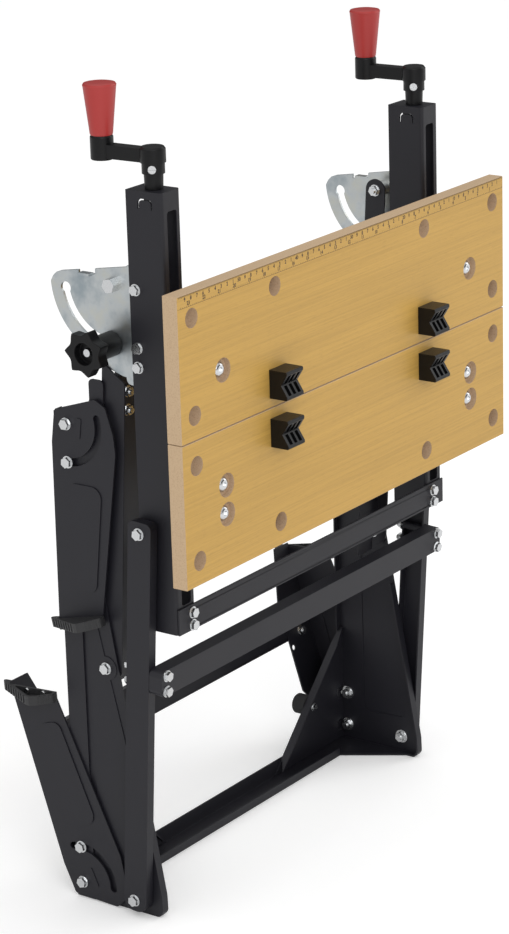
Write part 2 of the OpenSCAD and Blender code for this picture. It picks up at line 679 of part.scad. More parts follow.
// extension legs: local Y is the rear side, local Z runs from the pivot to the foot
leg_out = [[15.5, -12], [20.3, 22], [22.4, 225], [-35, 211], [-62, 24], [-60, 4], [-51, -24],
    [-38, -31]];
leg_round = [4, 0, 0, 0, 25, 8, 6, 6];
leg_panel = [[0, 63], [-2, 179], [-30, 179], [-43, 63]];
leg_bar_x = 235.4;
leg_bar_h = [48, 77];
module leg() {
    difference() {
        union() {
            yz(leg_x0, leg_x1) polygon(rounded(leg_out, leg_round));
            // raised panel, hollow behind, and a small rib beside the pivot
            yz(leg_x1 - 0.2, leg_x1 + 1.2) polygon(rounded(leg_panel, [10, 10, 10, 12], 6));
            yz(leg_x1 - 0.2, leg_x1 + 0.8)
                polygon(rounded([[-13, -8], [-13, 14], [-17, 15], [-20, -8]], [2, 2, 2, 2]));
            // rear flange that carries the crossbar
            leg_tilt() xz(-wall, 0) polygon([[leg_x1, -53], [leg_x1, 151], [231, 151], [210, 90],
                [210, -20], [236, -53]]);
        }
        yz(leg_x0 - 1, leg_x0 + 1)
            polygon(rounded(inset(leg_panel, 1.6), [8, 8, 8, 10], 6));
        rod_x(200, 300, 0, 0, pin_h);
        // arc slot around the pivot
        yz(leg_x0 - 1, leg_x1 + 2) leg_slot();
        leg_tilt() {
            for (h = leg_bar_h) rod_y(leg_bar_x, -10, 10, h, 3.05);
            rod_y(215.4, -10, 10, 32.7, 3.3);
        }
    }
}
// frame of the rear flange, slightly askew to the leg
module leg_tilt() { translate([0, 20.9, 78]) rotate([-0.6, 0, 0]) children(); }
module leg_slot() { polygon(slot_pts(ext_slot_r, 4.3, 90, 90 + ext_travel)); }
module leg_crossbar() {
    leg_tilt() difference() {
        union() {
            box(-248, 248, 0.1, 2.1, 42, 84);
            box(-227, 227, 0.1, 14, 42, 44);
            box(-227, 227, 0.1, 14, 82, 84);
        }
        for (s = [-1, 1], h = leg_bar_h) rod_y(s * leg_bar_x, -10, 10, h, 3.05);
    }
}
module leg_bolts() {
    leg_tilt() for (s = [-1, 1], h = leg_bar_h)
        translate([s * leg_bar_x, 2.1, h]) rotate([-90, 0, 0]) bolt_short(4.1, 6, 2);
    // screws of the shoes
    shoe_place() for (s = [-1, 1], v = [-26, -4]) {
        rod_x(s > 0 ? 259 : -262, s > 0 ? 262 : -259, v, 6.6, 2);
        translate([s > 0 ? 262 : -264.6, v, 6.6]) rotate([0, 90, 0])
            cylinder(h = 2.6, d = 6.8, $fn = 6);
    }
}
// frame of a shoe: local Z = 10 is the plane of its rim
module shoe_place() {
    translate([0, 36.5, 230]) rotate([13.5, 0, 0]) translate([0, -36.5, -10]) children();
}
// plastic shoe: ribbed hollow wedge over the end of the leg
shoe_out = [[leg_x1 + 0.1, -42.5], [267, -43], [280, -31], [284.5, -24], [283, -18], [255, 34.5],
    [252, 36.5], [250.5, 34], [250.5, 23], [leg_x1 + 0.1, 23]];
module shoe() {
    shoe_place() difference() {
        union() {
            linear_extrude(10) polygon(rounded(shoe_out, [1, 4, 3, 2, 3, 1, 1, 1, 1, 0], 3));
            for (i = [0 : 7]) shoe_rib([283, -18], [255, 34.5], (i + 0.8) / 8.6);
            for (i = [0 : 2]) shoe_rib([267, -43], [280, -31], (i + 0.6) / 3.2);
        }
        translate([0, 0, 3]) linear_extrude(20)
            polygon(rounded([[262, -39.5], [265.8, -39.6], [277.4, -29.2], [281, -23.3],
                [280, -18.4], [262, 15]], [1, 2, 2, 1, 2, 1], 3));
        for (v = [-26, -4]) rod_x(256, 263, v, 6.6, 2);
    }
}
module shoe_rib(a, b, t) {
    p = a + (b - a) * t;
    translate([p[0], p[1], 0]) rotate(atan2(b[1] - a[1], b[0] - a[0]))
        translate([-1.1, -0.9, 0.6]) cube([2.2, 1.8, 8.8]);
}
module at_lower(s) { side(s) translate([0, ext_y1, ext_z1]) rotate([-ext_open, 0, 0]) children(); }
module at_upper(s) { side(s) translate([0, ext_y2, ext_z2]) mirror([0, 0, 1]) children(); }
module lower_leg_left() { color(steel_black) at_lower(-1) leg(); }
module lower_leg_right() { color(steel_black) at_lower(1) leg(); }
module lower_leg_crossbar() { color(steel_black) at_lower(1) leg_crossbar(); }
module lower_leg_bolts() { color(zinc) at_lower(1) leg_bolts(); }
module lower_shoe_left() { color(rubber) at_lower(-1) shoe(); }
module lower_shoe_right() { color(rubber) at_lower(1) shoe(); }
module upper_leg_left() { color(steel_black) at_upper(-1) leg(); }
module upper_leg_right() { color(steel_black) at_upper(1) leg(); }
module upper_leg_crossbar() { color(steel_black) at_upper(1) leg_crossbar(); }
module upper_leg_bolts() { color(zinc) at_upper(1) leg_bolts(); }
module upper_shoe_left() { color(rubber) at_upper(-1) shoe(); }
module upper_shoe_right() { color(rubber) at_upper(1) shoe(); }

side_plate_left();
side_plate_right();
base_bar();
base_head_bar();
gusset_left();
gusset_right();
foot_bumpers();
bumper_bolts();
post_pivot_bolts();
strut_foot_bolts();
extension_bolts();
post_left();
post_right();
post_crossbar();
post_crossbar_bolts();
clamp_studs();
strut_left();
strut_right();
strut_crossbar();
strut_crossbar_bolts();
arm_left();
arm_right();
arm_crossbar();
arm_crossbar_bolts();
quadrant_left();
quadrant_right();
quadrant_bolts();
table_pivot_bolts();
fixed_jaw();
fixed_bracket_left();
fixed_bracket_right();
fixed_jaw_screws();
moving_jaw();
carriage_left();
carriage_right();
moving_jaw_screws();
spindle_left();
spindle_right();
crank_left();
crank_right();
grip_left();
grip_right();
star_knob_left();
star_knob_right();
dog_upper_left();
dog_upper_right();
dog_lower_left();
dog_lower_right();
lower_leg_left();
lower_leg_right();
lower_leg_crossbar();
lower_leg_bolts();
lower_shoe_left();
lower_shoe_right();
upper_leg_left();
upper_leg_right();
upper_leg_crossbar();
upper_leg_bolts();
upper_shoe_left();
upper_shoe_right();
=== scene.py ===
"""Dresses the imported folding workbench: finishes, the printed scale, the stage and the camera."""
import json
import math

import bmesh
import bpy
from bpy.props import FloatProperty, FloatVectorProperty, IntProperty, PointerProperty
from mathutils import Matrix, Vector


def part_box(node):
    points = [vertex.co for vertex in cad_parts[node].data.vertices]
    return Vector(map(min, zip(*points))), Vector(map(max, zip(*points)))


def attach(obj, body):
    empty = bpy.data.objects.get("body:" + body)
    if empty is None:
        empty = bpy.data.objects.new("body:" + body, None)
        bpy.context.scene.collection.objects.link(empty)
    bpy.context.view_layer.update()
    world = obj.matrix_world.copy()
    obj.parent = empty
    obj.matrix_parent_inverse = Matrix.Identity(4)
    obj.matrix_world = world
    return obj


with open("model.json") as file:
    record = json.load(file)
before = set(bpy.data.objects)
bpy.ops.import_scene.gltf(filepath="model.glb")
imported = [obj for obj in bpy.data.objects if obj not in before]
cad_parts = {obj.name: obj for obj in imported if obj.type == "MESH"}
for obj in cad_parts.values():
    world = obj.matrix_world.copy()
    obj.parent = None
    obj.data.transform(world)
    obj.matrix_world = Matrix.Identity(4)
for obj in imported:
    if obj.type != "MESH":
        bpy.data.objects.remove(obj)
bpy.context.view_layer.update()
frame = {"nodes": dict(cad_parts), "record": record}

bl_info = {
    "name": "Folding workbench",
    "version": (1, 0, 0),
    "blender": (4, 5, 0),
    "location": "3D View > Sidebar > Workbench",
    "description": "Finishes and details of a folding workbench",
    "category": "Object",
}

NODES = frame["nodes"]
MM = 0.001
FRAME_Y = -134.02 * MM    # the bench stands this far along Y, to be centred on the origin
SPINDLE_X, SPINDLE_Y, SPINDLE_R = 236.5 * MM, 73 * MM + FRAME_Y, 5 * MM
THREAD_PITCH, THREAD_STARTS = 2.5 * MM, 2    # two starts make 5 mm a turn


def node_names(*starts):
    return sorted(n for n in NODES if n.startswith(starts))


class Graph:
    """Adds nodes to a material's or a group's tree and links them."""

    def __init__(self, tree):
        self.tree = tree

    def add(self, kind, inputs=None, **settings):
        made = self.tree.nodes.new(kind)
        for key, value in settings.items():
            setattr(made, key, value)
        for key, value in (inputs or {}).items():
            socket = made.inputs[key]
            if isinstance(value, bpy.types.NodeSocket):
                self.tree.links.new(value, socket)
            else:
                socket.default_value = value
        return made

    def link(self, a, b):
        self.tree.links.new(a, b)


def new_material(name):
    """An empty material with its shader: the material, its graph and the shader."""
    mat = bpy.data.materials.new(name)
    mat.use_nodes = True
    tree = mat.node_tree
    tree.nodes.clear()
    g = Graph(tree)
    out = g.add("ShaderNodeOutputMaterial")
    shader = g.add("ShaderNodeBsdfPrincipled")
    g.link(shader.outputs[0], out.inputs["Surface"])
    return mat, g, shader


def srgb(r, g, b):
    """A colour as it is written for screens, 0 to 255, in the shader's own scale."""
    def lin(c):
        c = c / 255.0
        return c / 12.92 if c <= 0.04045 else ((c + 0.055) / 1.055) ** 2.4
    return (lin(r), lin(g), lin(b), 1.0)


def grain_group():
    """Fine bumps and soft blotches of a coated or moulded surface."""
    tree = bpy.data.node_groups.new("Surface grain", "ShaderNodeTree")
    face = tree.interface
    for name, kind, value in (("Scale", "NodeSocketFloat", 900.0), ("Blotch Scale", "NodeSocketFloat", 14.0),
                              ("Roughness", "NodeSocketFloat", 0.4), ("Spread", "NodeSocketFloat", 0.06)):
        face.new_socket(name=name, in_out="INPUT", socket_type=kind).default_value = value
    face.new_socket(name="Height", in_out="OUTPUT", socket_type="NodeSocketFloat")
    face.new_socket(name="Roughness", in_out="OUTPUT", socket_type="NodeSocketFloat")
    g = Graph(tree)
    inp, out = g.add("NodeGroupInput"), g.add("NodeGroupOutput")
    place = g.add("ShaderNodeTexCoord").outputs["Object"]
    fine = g.add("ShaderNodeTexNoise", {"Vector": place, "Scale": inp.outputs["Scale"], "Detail": 2.0})
    blotch = g.add("ShaderNodeTexNoise", {"Vector": place, "Scale": inp.outputs["Blotch Scale"],
                                          "Detail": 4.0})
    about = g.add("ShaderNodeMath", {0: blotch.outputs["Fac"], 1: 0.5}, operation="SUBTRACT")
    scaled = g.add("ShaderNodeMath", {0: about.outputs[0], 1: inp.outputs["Spread"]}, operation="MULTIPLY")
    uneven = g.add("ShaderNodeMath", {0: scaled.outputs[0], 1: inp.outputs["Roughness"]}, operation="ADD")
    g.link(fine.outputs["Fac"], out.inputs["Height"])
    g.link(uneven.outputs[0], out.inputs["Roughness"])
    return tree


def coated(name, colour, roughness, grain, scale, **sockets):
    """A painted, plated or moulded surface of one colour; sockets are set on its shader."""
    mat, g, shader = new_material(name)
    group = g.add("ShaderNodeGroup", node_tree=GROUPS["grain"])
    group.inputs["Scale"].default_value = scale
    group.inputs["Roughness"].default_value = roughness
    group.inputs["Spread"].default_value = 0.08
    bump = g.add("ShaderNodeBump", {"Height": group.outputs["Height"], "Strength": grain,
                                    "Distance": 0.2 * MM})
    shader.inputs["Base Color"].default_value = colour
    g.link(group.outputs["Roughness"], shader.inputs["Roughness"])
    g.link(bump.outputs["Normal"], shader.inputs["Normal"])
    for key, value in sockets.items():
        shader.inputs[key.replace("_", " ")].default_value = value
    return mat


def stretched_noise(g, place, scale, detail=2.0, roughness=0.5, warp=0.0):
    """Noise drawn out by a different scale on each axis."""
    drawn = g.add("ShaderNodeMapping", {"Vector": place, "Scale": scale})
    return g.add("ShaderNodeTexNoise", {"Vector": drawn.outputs[0], "Scale": 1.0, "Detail": detail,
                                        "Roughness": roughness, "Distortion": warp}).outputs["Fac"]


def board_face(name, colour):
    """Printed beech: honey yellow with fine flecks and soft figure along X."""
    mat, g, shader = new_material(name)
    place = g.add("ShaderNodeTexCoord").outputs["Object"]
    figure = stretched_noise(g, place, (2.4, 8.0, 26.0), 4.0, 0.6)
    lines = stretched_noise(g, place, (5.0, 40.0, 460.0), 4.0, 0.7, 0.4)
    fleck = stretched_noise(g, place, (90.0, 120.0, 760.0), 1.0)
    tones = g.add("ShaderNodeMapRange", {"Value": figure, "From Min": 0.3, "From Max": 0.7,
                                         "To Min": 0.965, "To Max": 1.025})
    fine = g.add("ShaderNodeMapRange", {"Value": lines, "From Min": 0.3, "From Max": 0.6,
                                        "To Min": 0.89, "To Max": 1.05})
    dark = g.add("ShaderNodeMapRange", {"Value": fleck, "From Min": 0.28, "From Max": 0.44,
                                        "To Min": 0.93, "To Max": 1.0})
    tone = g.add("ShaderNodeMath", {0: tones.outputs[0], 1: fine.outputs[0]}, operation="MULTIPLY")
    depth = g.add("ShaderNodeMath", {0: tone.outputs[0], 1: dark.outputs[0]}, operation="MULTIPLY")
    tint = g.add("ShaderNodeVectorMath", {0: tuple(colour), "Scale": depth.outputs[0]}, operation="SCALE")
    g.link(tint.outputs[0], shader.inputs["Base Color"])
    shader.inputs["Roughness"].default_value = 0.45
    shader.inputs["Specular IOR Level"].default_value = 0.35
    return mat


def fibre_group():
    """Pale fibres with darker specks, as on the cut faces of fibreboard."""
    tree = bpy.data.node_groups.new("Fibre specks", "ShaderNodeTree")
    face = tree.interface
    for name, kind, value in (("Light", "NodeSocketColor", (0.6, 0.5, 0.4, 1)),
                              ("Dark", "NodeSocketColor", (0.4, 0.3, 0.2, 1)),
                              ("Scale", "NodeSocketFloat", 600.0)):
        face.new_socket(name=name, in_out="INPUT", socket_type=kind).default_value = value
    face.new_socket(name="Color", in_out="OUTPUT", socket_type="NodeSocketColor")
    face.new_socket(name="Height", in_out="OUTPUT", socket_type="NodeSocketFloat")
    g = Graph(tree)
    inp, out = g.add("NodeGroupInput"), g.add("NodeGroupOutput")
    place = g.add("ShaderNodeTexCoord").outputs["Object"]
    grain = g.add("ShaderNodeTexNoise", {"Vector": place, "Scale": inp.outputs["Scale"], "Detail": 3.0,
                                         "Roughness": 0.7}).outputs["Fac"]
    share = g.add("ShaderNodeMapRange", {"Value": grain, "From Min": 0.34, "From Max": 0.5})
    mixed = g.add("ShaderNodeMix", {0: share.outputs[0], 6: inp.outputs["Dark"], 7: inp.outputs["Light"]},
                  data_type="RGBA")
    g.link(mixed.outputs[2], out.inputs["Color"])
    g.link(grain, out.inputs["Height"])
    return tree


def speckled(name, light, dark, scale, roughness):
    """Bare fibreboard."""
    mat, g, shader = new_material(name)
    group = g.add("ShaderNodeGroup", node_tree=GROUPS["fibre"])
    group.inputs["Light"].default_value = light
    group.inputs["Dark"].default_value = dark
    group.inputs["Scale"].default_value = scale
    bump = g.add("ShaderNodeBump", {"Height": group.outputs["Height"], "Strength": 0.35, "Distance": 0.3 * MM})
    g.link(group.outputs["Color"], shader.inputs["Base Color"])
    g.link(bump.outputs["Normal"], shader.inputs["Normal"])
    shader.inputs["Roughness"].default_value = roughness
    shader.inputs["Specular IOR Level"].default_value = 0.2
    return mat


def mottled_zinc(name):
    """Passivated zinc: bluish and yellowish clouds under a soft shine."""
    mat, g, shader = new_material(name)
    place = g.add("ShaderNodeTexCoord").outputs["Object"]
    clouds = stretched_noise(g, place, (22.0, 22.0, 22.0), 4.0, 0.6)
    veil = stretched_noise(g, place, (60.0, 60.0, 60.0), 3.0, 0.7)
    ramp = g.add("ShaderNodeValToRGB", {"Fac": clouds})
    stops = ramp.color_ramp.elements
    stops[0].position, stops[1].position = 0.36, 0.64
    stops[0].color, stops[1].color = (0.34, 0.39, 0.42, 1), (0.56, 0.57, 0.53, 1)
    middle = stops.new(0.52)
    middle.color = (0.53, 0.56, 0.57, 1)
    rough = g.add("ShaderNodeMapRange", {"Value": veil, "To Min": 0.26, "To Max": 0.5})
    g.link(ramp.outputs["Color"], shader.inputs["Base Color"])
    g.link(rough.outputs[0], shader.inputs["Roughness"])
    shader.inputs["Metallic"].default_value = 1.0
    return mat


GROUPS = {}
FINISH = {}
# each material slot of the bench: its finish, and how far its edges are rounded
SLOTS = {
    "frame_steel": ("steel", 0.5 * MM),
    "board_wood": ("wood", 0.4 * MM),
    "bolt_zinc": ("zinc", 0.3 * MM),
    "plate_zinc": ("plate", 0.3 * MM),
    "black_plastic": ("plastic", 0.6 * MM),
    "grip_red": ("red", 0.6 * MM),
    "shoe_plastic": ("shoe", 0.4 * MM),
    "bumper_rubber": ("rubber", 0.6 * MM),
}


def make_finishes(props):
    """Builds the shared groups, then every finish but the threads."""
    GROUPS["grain"] = grain_group()
    GROUPS["fibre"] = fibre_group()
    GROUPS["thread"] = thread_group()
    FINISH["steel"] = coated("Black powder coat", (*props.steel_colour, 1), 0.46, 0.2, 1400,
                             Specular_IOR_Level=0.36)
    FINISH["plastic"] = coated("Black plastic", (*props.plastic_colour, 1), 0.34, 0.3, 1800,
                               Specular_IOR_Level=0.24)
    FINISH["shoe"] = coated("Shoe plastic", (*props.shoe_colour, 1), 0.55, 0.5, 1500)
    FINISH["red"] = coated("Red plastic", (*props.grip_colour, 1), 0.4, 0.2, 1500)
    FINISH["rubber"] = coated("Black rubber", (0.012, 0.012, 0.013, 1), 0.75, 0.4, 1500)
    FINISH["zinc"] = coated("Bright zinc", (0.66, 0.67, 0.68, 1), 0.24, 0.1, 2200, Metallic=1.0)
    FINISH["plate"] = mottled_zinc("Zinc plate")
    FINISH["wood"] = board_face("Beech print", props.board_colour)
    FINISH["edge"] = speckled("Fibreboard edge", srgb(194, 168, 136), srgb(180, 152, 122), 700, 0.8)
    # painted shade: the holes get a slightly darker copy of the fibreboard edge finish
    FINISH["bore"] = speckled("Fibreboard bore with painted shade", srgb(190, 164, 136), srgb(170, 142, 114), 700, 0.85)
    FINISH["ink"] = coated("Scale ink", (0.03, 0.013, 0.006, 1), 0.5, 0.05, 900)


def thread_group():
    """A helical ridge about an upright axis: 0 in its valleys and 0.5 on its crests, and a painted shade for
    the base colour, darker in the valleys and lighter on the crests.
    """
    tree = bpy.data.node_groups.new("Screw thread", "ShaderNodeTree")
    face = tree.interface
    face.new_socket(name="Axis", in_out="INPUT", socket_type="NodeSocketVector")
    face.new_socket(name="Pitch", in_out="INPUT", socket_type="NodeSocketFloat").default_value = THREAD_PITCH
    face.new_socket(name="Shade", in_out="OUTPUT", socket_type="NodeSocketFloat")
    face.new_socket(name="Height", in_out="OUTPUT", socket_type="NodeSocketFloat")
    g = Graph(tree)
    inp, out = g.add("NodeGroupInput"), g.add("NodeGroupOutput")
    place = g.add("ShaderNodeTexCoord").outputs["Object"]
    from_axis = g.add("ShaderNodeVectorMath", {0: place, 1: inp.outputs["Axis"]}, operation="SUBTRACT")
    way = g.add("ShaderNodeSeparateXYZ", {"Vector": from_axis.outputs[0]})
    angle = g.add("ShaderNodeMath", {0: way.outputs["Y"], 1: way.outputs["X"]}, operation="ARCTAN2")
    turns = g.add("ShaderNodeMath", {0: angle.outputs[0], 1: THREAD_STARTS / (2 * math.pi)},
                  operation="MULTIPLY")
    rise = g.add("ShaderNodeMath", {0: way.outputs["Z"], 1: inp.outputs["Pitch"]}, operation="DIVIDE")
    climb = g.add("ShaderNodeMath", {0: rise.outputs[0], 1: turns.outputs[0]}, operation="ADD")
    crest = g.add("ShaderNodeMath", {0: climb.outputs[0], 1: 0.5}, operation="PINGPONG")
    # painted shade: the base colour runs from 0.3 in the thread's valleys to 0.62 on its crests
    shade = g.add("ShaderNodeMapRange", {"Value": crest.outputs[0], "From Max": 0.5,
                                         "To Min": 0.3, "To Max": 0.62})
    g.link(shade.outputs[0], out.inputs["Shade"])
    g.link(crest.outputs[0], out.inputs["Height"])
    return tree


def threaded_zinc(name, axis):
    """Bright zinc with a thread cut about an upright axis, and painted shade: darker in the thread's valleys,
    lighter on its crests.
    """
    mat, g, shader = new_material(name)
    group = g.add("ShaderNodeGroup", node_tree=GROUPS["thread"])
    group.inputs["Axis"].default_value = axis
    bump = g.add("ShaderNodeBump", {"Height": group.outputs["Height"], "Strength": 1.0, "Distance": 1.2 * MM})
    g.link(group.outputs["Shade"], shader.inputs["Base Color"])
    g.link(bump.outputs["Normal"], shader.inputs["Normal"])
    shader.inputs["Metallic"].default_value = 1.0
    shader.inputs["Roughness"].default_value = 0.3
    return mat


def dress_spindle(name):
    """Cuts the look of a thread on the long rod of a spindle, and leaves its screw plain."""
    obj = NODES[name]
    axis = Vector((math.copysign(SPINDLE_X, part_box(name)[0].x), SPINDLE_Y, 0))
    obj.data.materials.append(threaded_zinc("Thread " + name, axis))
    for face in obj.data.polygons:
        out = (face.center - axis).to_2d().length
        if out < SPINDLE_R + 0.1 * MM and abs(face.normal.z) < 0.5:
            face.material_index = 1


def dress_board(name):
    """Print on the two faces, bare fibreboard on the edges, and in the holes bare fibreboard with painted
    shade.
    """
    obj = NODES[name]
    low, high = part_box(name)
    mesh = obj.data
    mesh.materials.clear()
    for key in ("wood", "edge", "bore"):
        mesh.materials.append(FINISH[key])
    wood, edge, bore = range(3)
    for face in mesh.polygons:
        c, n = face.center, face.normal
        inside = (low.x + MM < c.x < high.x - MM) and (low.z + MM < c.z < high.z - MM)
        if abs(n.y) > 0.95 and min(abs(c.y - low.y), abs(c.y - high.y)) < 0.1 * MM:
            face.material_index = wood
        else:
            face.material_index = bore if inside else edge


def soften(obj, width):
    """Rounds the sharp edges of a solid for the light to catch."""
    weld = obj.modifiers.new("Weld", "WELD")
    weld.merge_threshold = 0.002 * MM
    bevel = obj.modifiers.new("Edges", "BEVEL")
    bevel.width = width
    bevel.segments = 2
    bevel.limit_method = "ANGLE"
    bevel.angle_limit = math.radians(38)
    bevel.harden_normals = False
    obj.modifiers.new("Smooth", "WEIGHTED_NORMAL").keep_sharp = True


# the rows of the printed scale, measured down from the board's upper edge
CM_ROW, CM_DIGITS, INCH_DIGITS, INCH_ROW = 0.7 * MM, 5.0 * MM, 9.2 * MM, 12.7 * MM
CM_TICKS = (2.3 * MM, 1.8 * MM, 1.3 * MM)      # at centimetres, halves and millimetres
INCH_TICKS = (2.1 * MM, 1.3 * MM, 0.8 * MM)    # at inches, halves and eighths
INCH = 25.4 * MM
RULE = 0.3 * MM          # the long lines along both rows
RULE_INSET = 0.6 * MM    # how far those lines end from the board's edges
PRINT_LIFT = 0.04 * MM
DIGIT_SHARE = 0.7        # height of a digit in a text of size 1
DIGITS = {}


class ScaleSettings(bpy.types.PropertyGroup):
    """The printed scale."""
    length_cm: IntProperty(name="Length", description="Centimetres on the scale", default=60, min=10)
    digit: FloatProperty(name="Digits", description="Height of the digits", default=3.7 * MM,
                         subtype="DISTANCE", unit="LENGTH")
    tick: FloatProperty(name="Ticks", description="Width of a printed tick", default=0.42 * MM,
                        subtype="DISTANCE", unit="LENGTH")


def digit_mesh(text, size):
    """The flat outline of a number about its middle, and what to scale it by."""
    if text not in DIGITS:
        curve = bpy.data.curves.new("Digits", "FONT")
        curve.body = text
        curve.size = 1.0
        curve.align_x, curve.align_y = "CENTER", "CENTER"
        curve.resolution_u = 3
        curve.offset = 0.03    # bolder strokes
        obj = bpy.data.objects.new("Digits", curve)
        DIGITS[text] = bpy.data.meshes.new_from_object(obj)
        bpy.data.objects.remove(obj)
    return DIGITS[text], size / DIGIT_SHARE


class WORKBENCH_OT_scale(bpy.types.Operator):
    """Prints centimetres and inches along the upper edge of the moving board"""
    bl_idname = "workbench.scale"
    bl_label = "Printed scale"

    def execute(self, context):
        settings = context.scene.bench_scale
        low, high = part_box("moving_jaw")
        out = bmesh.new()
        y, top = low.y - PRINT_LIFT, high.z
        zero = settings.length_cm * 10 * MM / 2
        end = high.x - RULE_INSET

        def line(x0, x1, z0, z1):
            out.faces.new([out.verts.new((x, y, z)) for x, z in ((x0, z0), (x1, z0), (x1, z1), (x0, z1))])

        def write(text, x, z, size):
            mesh, scale = digit_mesh(text, size)
            verts = [out.verts.new((x + v.co.x * scale, y, z + v.co.y * scale)) for v in mesh.vertices]
            for face in mesh.polygons:
                out.faces.new([verts[i] for i in face.vertices])

        half = settings.tick / 2
        for i in range(settings.length_cm * 10 + 1):
            x = zero - i * MM
            tall = CM_TICKS[0 if i % 10 == 0 else 1 if i % 5 == 0 else 2]
            line(x - half, x + half, top - CM_ROW - tall, top - CM_ROW)
            n = i // 10
            if i % 10 == 0 and 0 < n < settings.length_cm:
                write(str(n) if n % 10 == 0 else str(n % 10), x, top - CM_DIGITS, settings.digit)
        for i in range(int(settings.length_cm * 10 * MM / INCH * 8) + 1):
            x = zero - i * INCH / 8
            tall = INCH_TICKS[0 if i % 8 == 0 else 1 if i % 4 == 0 else 2]
            line(x - half, x + half, top - INCH_ROW, top - INCH_ROW + tall)
            if i and i % 8 == 0:
                write(str(i // 8), x, top - INCH_DIGITS, settings.digit)
        line(-end, end, top - INCH_ROW - RULE, top - INCH_ROW)
        line(-end, end, top - CM_ROW, top - CM_ROW + RULE)
        mesh = bpy.data.meshes.new("scale_print")
        out.to_mesh(mesh)
        out.free()
        obj = bpy.data.objects.new("scale_print", mesh)
        mesh.materials.append(FINISH["ink"])
        context.scene.collection.objects.link(obj)
        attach(obj, "jaw")
        return {"FINISHED"}


class BenchColours(bpy.types.PropertyGroup):
    """Colours a user would change."""
    steel_colour: FloatVectorProperty(name="Frame", description="Powder coat of the frame",
                                      subtype="COLOR", default=(0.0118, 0.0115, 0.016), min=0, max=1)
    plastic_colour: FloatVectorProperty(name="Plastic", description="Cranks, knobs and dogs",
                                        subtype="COLOR", default=(0.005, 0.005, 0.0056), min=0, max=1)
    shoe_colour: FloatVectorProperty(name="Shoes", description="Shoes of the legs", subtype="COLOR",
                                     default=(0.018, 0.018, 0.0195), min=0, max=1)
    grip_colour: FloatVectorProperty(name="Grips", description="Crank grips", subtype="COLOR",
                                     default=(0.395, 0.027, 0.024), min=0, max=1)
    board_colour: FloatVectorProperty(name="Boards", description="Printed board faces", subtype="COLOR",
                                      default=(0.53, 0.315, 0.073), min=0, max=1)


class StageSettings(bpy.types.PropertyGroup):
    """Lamps, room and floor."""
    key_power: FloatProperty(name="Key", description="Power of the key lamp", default=42.0,
                             min=0, subtype="POWER", unit="POWER")
    fill_power: FloatProperty(name="Fill", description="Power of the fill lamp", default=22.0,
                              min=0, subtype="POWER", unit="POWER")
    ambient: FloatProperty(name="Ambient", description="Strength of the white room", default=0.7,
                           min=0)
    floor_lift: FloatProperty(name="Floor lift", description="Light the camera adds to the floor",
                              default=0.2, min=0)


def dress(*slots):
    """Gives every solid of these material slots its finish and softens its edges."""
    for row in frame["record"]["subparts"]:
        if row["material_slot"] in slots:
            obj = NODES[row["node"]]
            finish, rounding = SLOTS[row["material_slot"]]
            obj.data.materials.clear()
            obj.data.materials.append(FINISH[finish])
            soften(obj, rounding)


class WORKBENCH_OT_finishes(bpy.types.Operator):
    """Mixes the finishes that the other steps use"""
    bl_idname = "workbench.finishes"
    bl_label = "Finishes"

    def execute(self, context):
        make_finishes(context.scene.bench_colours)
        return {"FINISHED"}


class WORKBENCH_OT_frame(bpy.types.Operator):
    """Powder-coats the sheet frame: side plates, posts, struts, arms, crossbars and legs"""
    bl_idname = "workbench.frame"
    bl_label = "Frame"

    def execute(self, context):
        dress("frame_steel")
        return {"FINISHED"}


class WORKBENCH_OT_fasteners(bpy.types.Operator):
    """Gives the bolts, screws, studs and spindles their bright zinc"""
    bl_idname = "workbench.fasteners"
    bl_label = "Bolts and spindles"

    def execute(self, context):
        dress("bolt_zinc")
        for name in node_names("spindle"):
            dress_spindle(name)
        return {"FINISHED"}


class WORKBENCH_OT_quadrants(bpy.types.Operator):
    """Gives the lock plates their clouded zinc"""
    bl_idname = "workbench.quadrants"
    bl_label = "Lock plates"

    def execute(self, context):
        dress("plate_zinc")
        return {"FINISHED"}


class WORKBENCH_OT_mouldings(bpy.types.Operator):
    """Gives cranks, grips, star knobs, dogs, shoes and bumpers their plastic and rubber"""
    bl_idname = "workbench.mouldings"
    bl_label = "Plastic parts"

    def execute(self, context):
        dress("black_plastic", "grip_red", "shoe_plastic", "bumper_rubber")
        return {"FINISHED"}


class WORKBENCH_OT_boards(bpy.types.Operator):
    """Prints the boards and bares their edges and holes"""
    bl_idname = "workbench.boards"
    bl_label = "Boards"

    def execute(self, context):
        dress("board_wood")
        for name in node_names("fixed_jaw", "moving_jaw"):
            if not name.endswith("screws"):
                dress_board(name)
        return {"FINISHED"}


LAMP_AIM = Vector((0, 0, 0.4))
FLOOR_SIZE = 24.0
PHOTO_WIDTH, FOCAL_PX, SENSOR = 509, 3074.23, 36.0
CAMERA_PLACE = (-2.57544, -1.73457 + FRAME_Y, 1.45036)
CAMERA_TURNS = (-54.05, 17.9, -1.74)    # degrees: azimuth, elevation and roll


def add_area(name, place, size, power):
    """A soft rectangular lamp that looks at the middle of the bench."""
    data = bpy.data.lights.new(name, "AREA")
    data.shape = "RECTANGLE"
    data.size, data.size_y = size
    data.energy = power
    lamp = bpy.data.objects.new(name, data)
    lamp.location = place
    lamp.rotation_euler = (LAMP_AIM - Vector(place)).to_track_quat("-Z", "Y").to_euler()
    bpy.context.scene.collection.objects.link(lamp)


